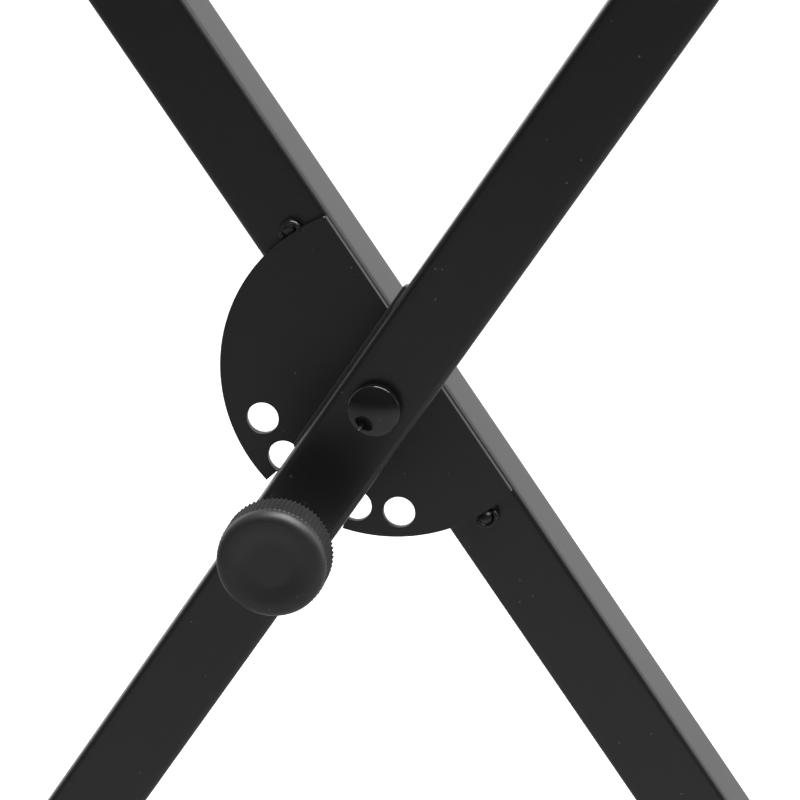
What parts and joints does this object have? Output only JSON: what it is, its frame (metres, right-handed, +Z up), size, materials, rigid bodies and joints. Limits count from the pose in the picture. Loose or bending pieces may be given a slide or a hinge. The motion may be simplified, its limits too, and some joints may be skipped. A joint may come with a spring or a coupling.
{
  "type": "folding keyboard stand",
  "caption": "Folding X-shaped keyboard stand: crossed square-tube legs on a pivot bolt, D-shaped locking disc, pull knob with pin, foot and arm bars with rubber caps and sleeves.",
  "frame": {"origin": "on the floor, midway between the feet, straight under the pivot", "axes": "+Z up, +X to the side that the front leg's arm leans to, -Y towards the knob"},
  "size_m": [0.6058, 0.4, 0.8538],
  "materials": {
    "coated_steel": "satin black powder coat",
    "gloss_black": "glossy black",
    "zinc_black": "black zinc, slightly dull",
    "bare_steel": "turned steel, bare",
    "knob_plastic": "fine matte",
    "nylon": "smooth nylon",
    "rubber": "matte rubber",
    "brass": "knurled insert"
  },
  "bodies": {
    "rear_frame": {"disc_weld_beads": "coated_steel", "locking_disc": "coated_steel", "pivot_bolt": "gloss_black", "pivot_head_washer": "nylon", "pivot_nut": "zinc_black", "pivot_nut_cap": "nylon", "pivot_nut_washer": "zinc_black", "rear_arm_bar": "coated_steel", "rear_arm_cap_back": "rubber", "rear_arm_cap_front": "rubber", "rear_arm_nuts": "zinc_black", "rear_arm_plate": "coated_steel", "rear_arm_screws": "zinc_black", "rear_arm_sleeve_back": "rubber", "rear_arm_sleeve_front": "rubber", "rear_arm_washers": "zinc_black", "rear_foot_bar": "coated_steel", "rear_foot_cap_back": "rubber", "rear_foot_cap_front": "rubber", "rear_foot_nuts": "zinc_black", "rear_foot_plate": "coated_steel", "rear_foot_screws": "zinc_black", "rear_foot_washers": "zinc_black", "rear_leg_tube": "coated_steel", "rear_pivot_sleeve": "bare_steel", "rear_weld_beads": "coated_steel"},
    "front_frame": {"front_arm_bar": "coated_steel", "front_arm_cap_back": "rubber", "front_arm_cap_front": "rubber", "front_arm_nuts": "zinc_black", "front_arm_plate": "coated_steel", "front_arm_screws": "zinc_black", "front_arm_sleeve_back": "rubber", "front_arm_sleeve_front": "rubber", "front_arm_washers": "zinc_black", "front_foot_bar": "coated_steel", "front_foot_cap_back": "rubber", "front_foot_cap_front": "rubber", "front_foot_nuts": "zinc_black", "front_foot_plate": "coated_steel", "front_foot_screws": "zinc_black", "front_foot_washers": "zinc_black", "front_leg_tube": "coated_steel", "front_pivot_sleeve": "bare_steel", "front_weld_beads": "coated_steel", "lock_spring": "bare_steel", "pin_front_guide": "bare_steel", "pin_rear_guide": "bare_steel", "spacer_plate": "nylon"},
    "lock_plunger": {"spring_seat_washer": "bare_steel"},
    "lock_knob": {"knob": "knob_plastic", "knob_insert": "brass", "knob_jam_nut": "zinc_black", "lock_pin": "bare_steel"}
  },
  "joints": [
    {"name": "fold", "type": "hinge", "parent": "rear_frame", "child": "front_frame", "pos_m": [0, 0, 0.43727], "axis": [0, 1, 0], "range_deg": [-62, 37]},
    {"name": "pin_pull", "type": "slide", "parent": "front_frame", "child": "lock_plunger", "axis": [0, -1, 0], "range_m": [0, 0.005], "stiffness_N_per_m": 1200, "springref_m": -0.0107, "deforming": ["lock_spring"]},
    {"name": "knob_turn", "type": "hinge", "parent": "lock_plunger", "child": "lock_knob", "pos_m": [-0.02852, 0, 0.39499], "axis": [0, -1, 0], "continuous": true}
  ]
}
